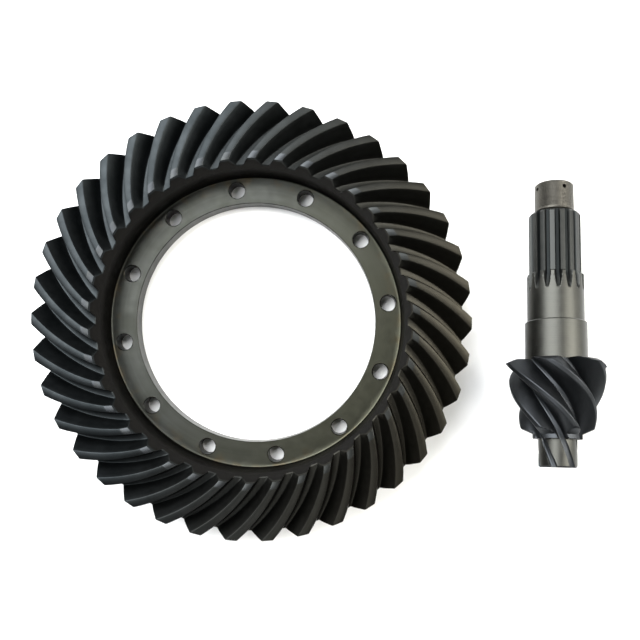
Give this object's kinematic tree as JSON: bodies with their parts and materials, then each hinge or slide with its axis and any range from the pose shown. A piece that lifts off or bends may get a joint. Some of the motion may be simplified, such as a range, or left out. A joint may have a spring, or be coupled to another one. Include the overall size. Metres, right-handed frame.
{
  "type": "ring and pinion gear set",
  "caption": "Matched hypoid axle gears: a large crown wheel with curved bevel teeth and a bolted flange, and a stepped pinion shaft with a helical bevel head, journals and splines.",
  "frame": {"origin": "centre of the ring gear's bore, in the plane of its back face", "axes": "+Z along the bore axis from the back face towards the teeth; +X from the ring gear towards the pinion shaft; +Y from the pinion's pilot end towards its threaded end"},
  "size_m": [0.609, 0.4614, 0.1048],
  "materials": {
    "ring_steel": "dark phosphated teeth, turned bare flange",
    "pinion_steel": "dark phosphated head, ground bare journals"
  },
  "bodies": {
    "root": {"ring_gear": "ring_steel", "pinion_shaft": "pinion_steel"}
  },
  "joints": []
}
